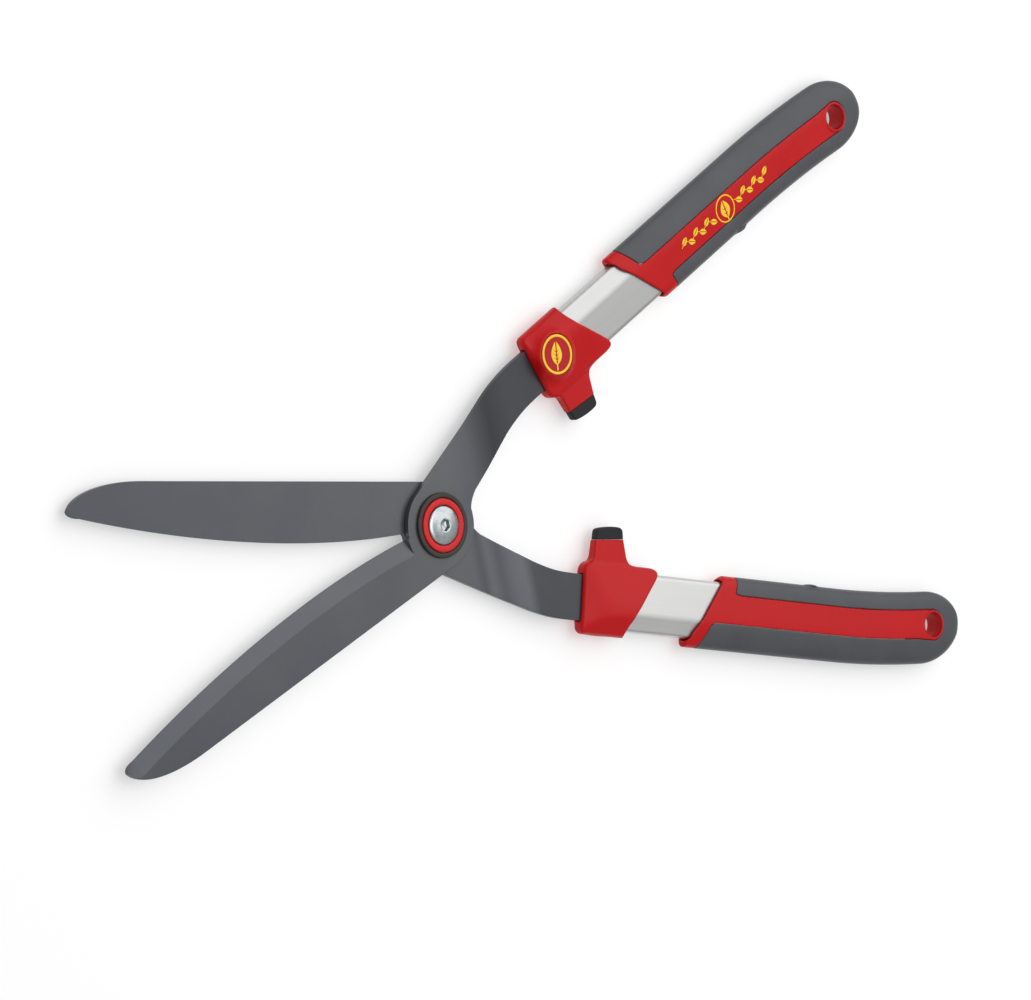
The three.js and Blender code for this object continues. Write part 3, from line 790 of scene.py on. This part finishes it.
def blade_outline():
    """Anticlockwise, starting at the heel of the cutting edge."""
    def at(u, v):
        x, y = from_handle(u, v)
        return float(x), float(y)

    spine, root = math.degrees(SPINE_ANGLE) - 90, TANG_ROOT_ANGLE + 90
    boss_end = arc((0, 0), BOSS_RADIUS, spine, 8, steps=36)
    spine_end = (SPINE_END_X, spine_y(SPINE_END_X))
    return chain(
        cutting_edge(120),
        bezier(EDGE_END, (-228.72, -62.4), TIP, steps=12),
        bezier(TIP, (-223, -73.8), (-204, spine_y(-202)), spine_end, steps=40),
        straight(spine_end, polar(spine, (0, 0), BOSS_RADIUS), 40),
        boss_end,
        bezier(boss_end[-1], (23, 7), at(30, -27.1), steps=14),
        straight(at(30, -27.1), at(66, -16.2), 26),
        bezier(at(66, -16.2), at(80, -12.6), at(86, -TANG_HALF), at(98, -TANG_HALF), steps=24),
        at(TANG_SHOULDER, -TANG_HALF), at(TANG_SHOULDER, -INSERT_HALF), at(TANG_END, -INSERT_HALF),
        at(TANG_END, INSERT_HALF), at(TANG_SHOULDER, INSERT_HALF), at(TANG_SHOULDER, TANG_HALF),
        bezier(at(96, TANG_HALF), at(86, TANG_HALF), at(80, TANG_HALF), at(66, 9.6), steps=24),
        straight(at(66, 9.6), polar(root, (0, 0), BOSS_RADIUS), 26),
        arc((0, 0), BOSS_RADIUS, root, 180, steps=24),
    )


def joggle(u):
    """How far the tang has stepped down at u."""
    a, b = JOGGLE
    ease = (b - a) * 0.42
    path = bezier((a, 0), (a + ease, 0), (b - ease, 1), (b, 1), steps=60)
    return -(BLADE_LOW + BLADE_THICK / 2) * np.interp(u, path[:, 0], path[:, 1])


def blade_low(x, y):
    u, _ = to_handle(x, y)
    return BLADE_LOW + np.where(x > 0, joggle(u), 0.0)


EDGE = cutting_edge(240)


def blade_top(x, y):
    """The upper face: flat, ground down towards the cutting edge, and flat again at the boss."""
    full = blade_low(x, y) + BLADE_THICK
    away = np.full(np.shape(x), 1e9)
    for (ax, ay), (bx, by) in zip(EDGE[:-1], EDGE[1:]):
        ex, ey = bx - ax, by - ay
        t = np.clip(((x - ax) * ex + (y - ay) * ey) / (ex * ex + ey * ey), 0, 1)
        away = np.minimum(away, np.hypot(x - ax - ex * t, y - ay - ey * t))
    slope = BLADE_LOW + BEVEL_LAND + BEVEL_RISE * away / BEVEL_WIDTH
    runout = BLADE_TOP - (np.hypot(x, y) - BEVEL_STOP) * BEVEL_WALL
    ground = np.minimum(BLADE_TOP, np.maximum(slope, runout))
    return np.where(x < 0, np.minimum(full, ground), full)


def offset_loop(points, distance):
    """The loop moved inwards, for a loop that runs anticlockwise."""
    p = np.array(points)
    before, after = np.roll(p, 1, axis=0), np.roll(p, -1, axis=0)

    def side(a, b):
        d = b - a
        d /= np.linalg.norm(d, axis=1)[:, None]
        return np.stack([-d[:, 1], d[:, 0]], axis=1)

    one, two = side(before, p), side(p, after)
    middle = one + two
    middle /= np.maximum((middle * one).sum(axis=1), 0.5)[:, None]
    return p + middle * np.asarray(distance)[..., None]


def bevel_lines():
    """The lines where the ground slope starts, rounds the tip and runs out at the boss."""
    tangent = np.gradient(EDGE, axis=0)
    tangent /= np.linalg.norm(tangent, axis=1)[:, None]
    inward = np.stack([-tangent[:, 1], tangent[:, 0]], axis=1)
    crest = EDGE + inward * BEVEL_WIDTH
    crest = crest[np.hypot(crest[:, 0], crest[:, 1]) > BEVEL_STOP + 0.2]
    stop, run = [], []
    for share in np.linspace(0.0, 1.0, 12):
        row = EDGE + inward * (BEVEL_WIDTH * share)
        radius = np.hypot(row[:, 0], row[:, 1])
        for found, reach in ((stop, BEVEL_STOP), (run, BEVEL_STOP + BEVEL_RISE * (1 - share) / BEVEL_WALL)):
            i = int(np.argmin(np.abs(radius - reach)))
            found.append(row[i] / radius[i] * reach)
    across = math.degrees(math.atan2(inward[-1][1], inward[-1][0]))
    return [crest[:-1:3], arc(EDGE_END, BEVEL_WIDTH, across, across - 90, steps=18), stop, run]


def circle(centre, radius, sides):
    return [tuple(p) for p in arc(centre, radius, 0, 360 - 360 / sides, steps=sides - 1)]


def plate_plan(rim, holes):
    """Points and edges of the plate seen from above, and where each hole's points start."""
    points, edges = [], []

    def add(line, closed):
        start = len(points)
        points.extend(tuple(p) for p in line)
        count = len(line) if closed else len(line) - 1
        edges.extend((start + i, start + (i + 1) % len(line)) for i in range(count))
        return start

    starts = [add(loop, closed=True) for loop in (rim, *holes)]
    for line in bevel_lines():
        add([p for p in line if polygon_distance(rim, *p) < -0.05], closed=False)
    for u in np.arange(30, 80, 1.25):
        for v in np.arange(-34, 20, 3.0):
            x, y = (float(c) for c in from_handle(u, v))
            if polygon_distance(rim, x, y) < -0.7:
                points.append((x, y))
    return points, edges, starts[1:]


def fill_plate(rim, holes):
    """Flat points, the triangles between the rim and the holes, and the new numbers of both loops."""
    points, edges, hole_starts = plate_plan(rim, holes)
    flat, _, triangles, origins = delaunay_2d_cdt([Vector(p) for p in points], edges, [], 0, 1e-4)[:4]
    where = {old: new for new, olds in enumerate(origins) for old in olds}
    flat = np.array([tuple(p) for p in flat])
    middles = flat[np.array(triangles)].mean(axis=1).T
    keep = polygon_distance(rim, *middles) < -SLIVER
    for hole in holes:
        keep &= polygon_distance(hole, *middles) > SLIVER
    triangles = [tuple(t) for t, kept in zip(triangles, keep) if kept]
    rim_numbers = [where[i] for i in range(len(rim))]
    hole_numbers = [[where[start + i] for i in range(len(hole))] for start, hole in zip(hole_starts, holes)]
    return flat, triangles, rim_numbers, hole_numbers


def blade_mesh():
    """The blade's two faces, the softened rim between them and the walls of its holes."""
    outline = anticlockwise(blade_outline())
    ring = np.array(outline)
    top_z, low_z = blade_top(*ring.T), blade_low(*ring.T)
    soft = np.minimum(RIM_SOFTNESS, 0.3 * (top_z - low_z))
    rim = [tuple(p) for p in offset_loop(outline, soft)]
    holes = [circle((0, 0), BOLT_HOLE, 48)] + [circle(from_handle(u, 0), PIN_HOLE, 24) for u in PIN_AT]
    flat, triangles, upper, hole_numbers = fill_plate(rim, holes)
    count = len(flat)
    vertices = [*np.column_stack([flat, blade_top(*flat.T)]), *np.column_stack([flat, blade_low(*flat.T)])]
    faces = triangles + [tuple(count + i for i in reversed(t)) for t in triangles]
    rows = [upper]
    soft_steps = ((RIM_MIDDLE, RIM_MIDDLE), (0.0, 1.0))
    for heights, sign, steps in ((top_z, -1, soft_steps), (low_z, 1, soft_steps[::-1])):
        for share, drop in steps:
            loop = offset_loop(outline, soft * share)
            rows.append(range(len(vertices), len(vertices) + len(loop)))
            vertices += [(x, y, z + sign * r * drop) for (x, y), z, r in zip(loop, heights, soft)]
    rows.append([count + i for i in upper])
    for one, two in zip(rows[:-1], rows[1:]):
        for i in range(len(upper)):
            j = (i + 1) % len(upper)
            faces.append((one[j], one[i], two[i], two[j]))
    for hole in hole_numbers:
        for a, b in zip(hole, hole[1:] + hole[:1]):
            faces.append((a, b, count + b, count + a))
    used = sorted({i for face in faces for i in face})
    renumber = {old: new for new, old in enumerate(used)}
    vertices = np.array([tuple(vertices[i]) for i in used])
    faces = [tuple(renumber[i] for i in face) for face in faces]
    return vertices, outward(vertices, faces)


def blades():
    vertices, faces = blade_mesh()
    for side in SIDES:
        piece = make_object(f"{side}_blade_plate", to_row(vertices, side), faces, STEEL[side], sharp=9)
        install(piece, f"{side}_blade", f"{side}_half")


blades()


# --- pivot ---

HEAD_RADIUS, HEAD_BOTTOM, HEAD_EDGE, HEAD_TOP = 10.05, 4.3, 4.85, 6.6
SOCKET_ACROSS, SOCKET_DEPTH = 5.6, 2.8
SHANK_RADIUS, SHANK_END = 4.0, -8.5
NUT_ACROSS, NUT_BORE, NUT_TOP = 13.0, 4.3, -4.75
HEX_SIDES = 144  # points around the bolt and the nut


def turns(sides):
    return np.linspace(0, 2 * math.pi, sides, endpoint=False)


def revolved(section, sides, centre=(0.0, 0.0)):
    """A closed section of (radius, z) turned about an upright axis."""
    rings = [[(centre[0] + r * math.cos(a), centre[1] + r * math.sin(a), z) for r, z in section]
             for a in turns(sides)]
    return loft(rings, close=True)


def level_ring(radius, z):
    """A ring about the pivot. The radius is one value, or a list with one for each point."""
    return [(r * math.cos(a), r * math.sin(a), z)
            for r, a in zip(np.broadcast_to(radius, HEX_SIDES), turns(HEX_SIDES))]


def hexagon_radii(across):
    """Distance from a hexagon's middle to its outline, all the way round."""
    return [across / 2 / math.cos((a + math.pi / 6) % (math.pi / 3) - math.pi / 6) for a in turns(HEX_SIDES)]


def round_ring(inner, outer, low, high, edge):
    """A ring about the pivot, with rounded upper edges."""
    section = [(inner, low), (outer, low)]
    section += [tuple(p) for p in arc((outer - edge, high - edge), edge, 0, 90, steps=6)]
    section += [tuple(p) for p in arc((inner + edge, high - edge), edge, 90, 180, steps=6)]
    return revolved(section, 96)


def pivot_piece(name, shape, node, material, sharp):
    vertices, faces = shape
    piece = make_object(name, to_row(vertices, "front"), faces, material, sharp=sharp)
    install(piece, node, "front_half")


def bolt():
    """Rings from the floor of the hexagon socket, over the domed head, to the shank's end."""
    def dome(r):
        bulge = math.sqrt(max(0.0, 1 - (r / HEAD_RADIUS) ** 2)) ** 0.9
        return HEAD_EDGE + (HEAD_TOP - HEAD_EDGE) * bulge

    def socket(scale, z, share=1.0):
        """A hexagon, less so for a smaller share."""
        round_part = (1 - share) * SOCKET_ACROSS * 0.56
        return level_ring([(r * share + round_part) * scale for r in hexagon_radii(SOCKET_ACROSS)], z)

    floor_z = HEAD_TOP - SOCKET_DEPTH
    rings = [
        socket(0.02, floor_z - 0.6), socket(0.6, floor_z - 0.4), socket(0.97, floor_z),
        socket(1.0, floor_z + 0.2), socket(1.0, HEAD_TOP - 0.35),
        socket(1.07, HEAD_TOP - 0.17, 0.9), socket(1.13, dome(SOCKET_ACROSS * 0.58), 0.5),
    ]
    rings += [level_ring(r, dome(r)) for r in (3.9, 4.6, 5.3, 6.0, 7.0, 8.0, 8.8, 9.4, 9.8)]
    rings += [level_ring(r, z) for r, z in (
        (HEAD_RADIUS - 0.05, HEAD_EDGE + 0.15), (HEAD_RADIUS, HEAD_EDGE), (HEAD_RADIUS, HEAD_BOTTOM + 0.15),
        (HEAD_RADIUS - 0.15, HEAD_BOTTOM), (SHANK_RADIUS, HEAD_BOTTOM),
        (SHANK_RADIUS, SHANK_END + 0.3), (SHANK_RADIUS - 0.3, SHANK_END))]
    return loft(rings)


def lock_nut():
    """Hexagon nut with its corners chamfered at both ends."""
    flats = hexagon_radii(NUT_ACROSS)

    def chamfered(limit, z):
        return level_ring([min(r, limit) for r in flats], z)

    rings = [
        chamfered(6.4, SHANK_END), chamfered(6.9, SHANK_END + 0.25), chamfered(7.6, SHANK_END + 0.6),
        chamfered(7.6, NUT_TOP - 0.6), chamfered(6.7, NUT_TOP),
        level_ring(NUT_BORE, NUT_TOP), level_ring(NUT_BORE, SHANK_END),
    ]
    return loft(rings, close=True)


TRIM_RING = round_ring(10.4, 13.9, 3.45, 5.2, 0.7)
SEAL_RING = round_ring(14.15, 16.9, 3.45, 4.9, 0.9)
WASHER = round_ring(4.3, 9.0, -4.45, -3.45, 0.2)
pivot_piece("pivot_bolt_turned", bolt(), "pivot_bolt", ZINC, sharp=35)
pivot_piece("lock_nut_hexagon", lock_nut(), "lock_nut", ZINC, sharp=25)
pivot_piece("pivot_trim_ring_turned", TRIM_RING, "pivot_trim_ring", GLOSS_RED, sharp=40)
pivot_piece("pivot_seal_ring_turned", SEAL_RING, "pivot_seal_ring", SEAL, sharp=40)
pivot_piece("rear_washer_turned", WASHER, "rear_washer", ZINC, sharp=40)


# --- badges and print ---

RIB = 0.035  # half width of a leaf's midrib, for each unit of its length


def plate(outline, low, high, edge):
    """A flat plate with a chamfered upper edge. The outline runs anticlockwise."""
    inner = offset_loop(outline, np.full(len(outline), edge))
    levels = ((outline, low), (outline, high - edge), (inner, high))
    return loft([[(x, y, z) for x, y in loop] for loop, z in levels])


def join(parts):
    vertices, faces = [], []
    for points, polygons in parts:
        start = len(vertices)
        vertices += [tuple(p) for p in points]
        faces += [tuple(start + i for i in face) for face in polygons]
    return np.array(vertices), faces


def leaf_half(length, width, sign, veins):
    """One half of a pointed leaf along +x, beside its midrib, notched where the veins run."""
    rib = RIB * length
    x = np.linspace(0, length, 25)[1:-1]
    y = width * np.sin(math.pi * (x / length) ** 0.85) ** 0.9 + rib
    points = [(length, rib), *zip(x[::-1], y[::-1]), (0.0, rib)]
    for i in range(veins):
        root = length * (0.2 + 0.5 * i / veins)
        points += [(root, rib), (root + 0.17 * length, rib + width * 0.62), (root + 0.05 * length, rib)]
    return anticlockwise([(px, sign * py) for px, py in chain(points)])


def leaf(length, width, at, angle, low, high, veins, stem=0.25):
    """A leaf with its stem, about its middle."""
    rib = RIB * length
    back, front = -stem * length, 0.06 * length
    shapes = [leaf_half(length, width, sign, veins) for sign in (1, -1)]
    shapes.append([(back, -rib), (front, -rib), (front, rib), (back, rib)])
    turn = Matrix.Rotation(math.radians(angle), 3, "Z")
    parts = []
    for shape in shapes:
        places = [turn @ Vector((x - length * 0.42, y, 0)) for x, y in shape]
        parts.append(plate([(place.x + at[0], place.y + at[1]) for place in places], low, high, 0.04))
    return parts


def flat_ring(at, inner, outer, low, high):
    section = [(inner, low), (outer, low), (outer, high - 0.1), (outer - 0.12, high),
               (inner + 0.12, high), (inner, high - 0.1)]
    return revolved(section, 72, at)


def badges():
    """A red disc in each collar's pad, with a ring and a leaf printed on it."""
    disc = [(0.01, 7.5), (10.4, 7.5), (10.6, 7.7), (10.6, 8.1), (10.4, 8.28), (0.01, 8.28)]
    emblem = [flat_ring(PAD_AT, 9.15, 10.5, 8.0, 8.5)]
    emblem += leaf(12.0, 3.3, (PAD_AT[0] - 0.6, PAD_AT[1]), 62, 8.1, 8.46, veins=3)
    shapes = (("field", revolved(disc, 72, PAD_AT), FIELD), ("print", join(emblem), YELLOW))
    for side in SIDES:
        for name, (vertices, faces), material in shapes:
            placed = to_row(handle_to_half(vertices), side)
            piece = make_object(f"{side}_badge_{name}", placed, faces, material, sharp=40)
            install(piece, f"{side}_badge", f"{side}_half")


badges()


def grip_print():
    """A ringed leaf with a row of small leaves on each side, lying on the front grip's strip."""
    middle = (264.0, -1.75)
    low, high = RIDGE_TOP - 0.4, RIDGE_TOP + 0.02
    parts = [flat_ring(middle, 6.85, 7.65, low, high)]
    parts += leaf(10.0, 3.3, (middle[0] - 0.3, middle[1] - 0.8), 90, low, high, veins=2)
    for i in range(6):
        lean = 1 if i % 2 else -1
        for direction in (-1, 1):
            at = (middle[0] + direction * (11.5 + 5.0 * i), middle[1] + 1.3 * lean)
            parts += leaf(5.4, 1.45, at, 32 * lean, low, high, veins=0, stem=0.3)
    vertices, faces = join(parts)
    vertices[:, 2] -= FACE_SLOPE * (RIDGE_AT - (vertices[:, 1] - GRIP_CENTRE))
    placed = to_row(handle_to_half(vertices), "front")
    piece = make_object("front_grip_print", placed, faces, YELLOW, sharp=40)
    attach(piece, "front_half")


grip_print()


# --- CAD nodes that stay ---

KEPT = {"pivot_bush": BRONZE, "disc_spring": SPRING}
for side in SIDES:
    KEPT |= {f"{side}_tang_insert": BLACK_PLASTIC, f"{side}_tang_pin_1": SPRING, f"{side}_tang_pin_2": SPRING}
for node, material in KEPT.items():
    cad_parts[node].data.materials[0] = material


# --- floor, lights and camera ---

FLOOR_REACH, FLOOR_DROP = 8.0, 0.0004  # metres
LAMP_TARGET = (0.05, 0, 0)
LAMPS = (  # name, place and size in metres, watts
    ("key", (1.1, 0.9, 1.4), (2.8, 2.2), 20),
    ("top", (-0.3, 0.1, 2.2), (1.6, 1.6), 13),
)
HORIZON_GLOW, SKY_GLOW, SKY_FROM = 0.22, 0.6, 0.75
CAMERA_AT = (-1.77916, 0.41781, 2.08654)
CAMERA_RIGHT, CAMERA_BACK = (0.7144, -0.1989, 0.6709), (-0.6545, 0.1493, 0.7412)
SENSOR_WIDTH, FOCAL_LENGTH = 36.0, 188.55


def pale_floor():
    f = Finish("pale_floor")
    f.set(Roughness=0.9, Specular_IOR_Level=0.1, Emission_Color=(1, 1, 1, 1), Emission_Strength=0.42)
    f.base(f.colours(f.noise(900), (0.3, (0.60, 0.60, 0.60, 1)), (0.7, (0.62, 0.62, 0.62, 1))))
    f.bump((f.noise(3), 0.02, 0.1))
    return f.material


def floor():
    signs = ((-1, -1), (1, -1), (1, 1), (-1, 1))
    corners = [(x * FLOOR_REACH, y * FLOOR_REACH, -FLOOR_DROP) for x, y in signs]
    make_object("floor", corners, [(0, 1, 2, 3)], pale_floor())


def area_light(name, place, size, power):
    lamp = bpy.data.lights.new(name, "AREA")
    lamp.shape = "RECTANGLE"
    lamp.size, lamp.size_y = size
    lamp.energy = power
    turn = (Vector(LAMP_TARGET) - Vector(place)).to_track_quat("-Z", "Y")
    link_object(name, lamp).matrix_world = Matrix.Translation(place) @ turn.to_matrix().to_4x4()


def lights():
    """A soft studio: a white surrounding that brightens upwards, and large lamps."""
    world = bpy.data.worlds.new("studio")
    world.use_nodes = True
    nodes, links = world.node_tree.nodes, world.node_tree.links
    background = nodes["Background"]
    background.inputs["Color"].default_value = (1, 1, 1, 1)
    split = nodes.new("ShaderNodeSeparateXYZ")
    links.new(nodes.new("ShaderNodeTexCoord").outputs["Generated"], split.inputs["Vector"])
    glow = nodes.new("ShaderNodeMapRange")
    glow.inputs["From Min"].default_value = 0.0
    glow.inputs["From Max"].default_value = SKY_FROM
    glow.inputs["To Min"].default_value = HORIZON_GLOW
    glow.inputs["To Max"].default_value = SKY_GLOW
    links.new(split.outputs["Z"], glow.inputs["Value"])
    links.new(glow.outputs["Result"], background.inputs["Strength"])
    bpy.context.scene.world = world
    for lamp in LAMPS:
        area_light(*lamp)


def camera():
    lens = bpy.data.cameras.new("camera")
    lens.sensor_width = SENSOR_WIDTH
    lens.sensor_fit = "HORIZONTAL"
    lens.lens = FOCAL_LENGTH
    lens.clip_end = 50
    back = Vector(CAMERA_BACK).normalized()
    up = back.cross(Vector(CAMERA_RIGHT)).normalized()
    turn = Matrix((up.cross(back), up, back)).transposed().to_4x4()
    holder = link_object("camera", lens)
    holder.matrix_world = Matrix.Translation(CAMERA_AT) @ turn
    bpy.context.scene.camera = holder


floor()
lights()
camera()
bpy.context.scene.view_settings.view_transform = "Standard"
